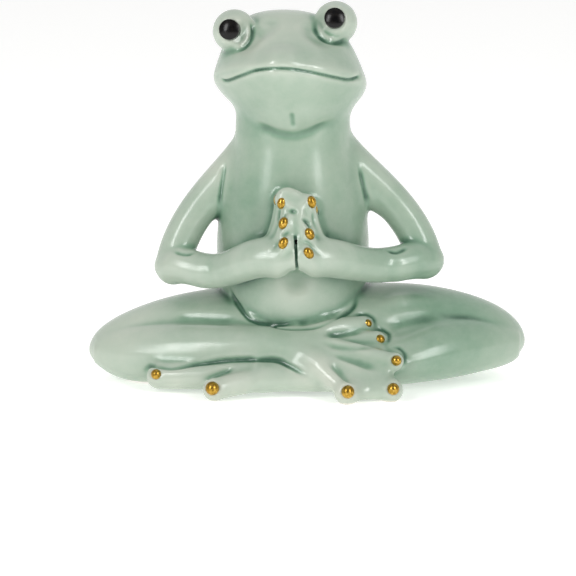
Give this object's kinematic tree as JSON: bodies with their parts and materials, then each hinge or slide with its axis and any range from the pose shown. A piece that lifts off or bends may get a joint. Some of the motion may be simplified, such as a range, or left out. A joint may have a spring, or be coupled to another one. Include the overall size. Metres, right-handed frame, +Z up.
{
  "type": "frog figurine",
  "caption": "Glazed ceramic frog ornament sitting cross-legged with palms pressed together, hollow cast, with black enamel eyes and gilded nails, for standing on a flat surface.",
  "frame": {"origin": "middle of the figure's outline on the surface it stands on", "axes": "+X to the frog's own left, -Y to its front, +Z up"},
  "size_m": [0.1608, 0.0752, 0.1401],
  "materials": {
    "celadon_glaze": "glossy translucent celadon glaze over white porcelain",
    "black_enamel": "glossy black overglaze enamel",
    "gold_lustre": "burnished gold lustre"
  },
  "bodies": {
    "root": {"torso_casting": "celadon_glaze", "head_casting": "celadon_glaze", "right_arm_casting": "celadon_glaze", "left_arm_casting": "celadon_glaze", "right_leg_casting": "celadon_glaze", "left_leg_casting": "celadon_glaze", "right_pupil": "black_enamel", "left_pupil": "black_enamel", "right_hand_nails": "gold_lustre", "left_hand_nails": "gold_lustre", "right_foot_nails": "gold_lustre", "left_foot_nails": "gold_lustre"}
  },
  "joints": []
}
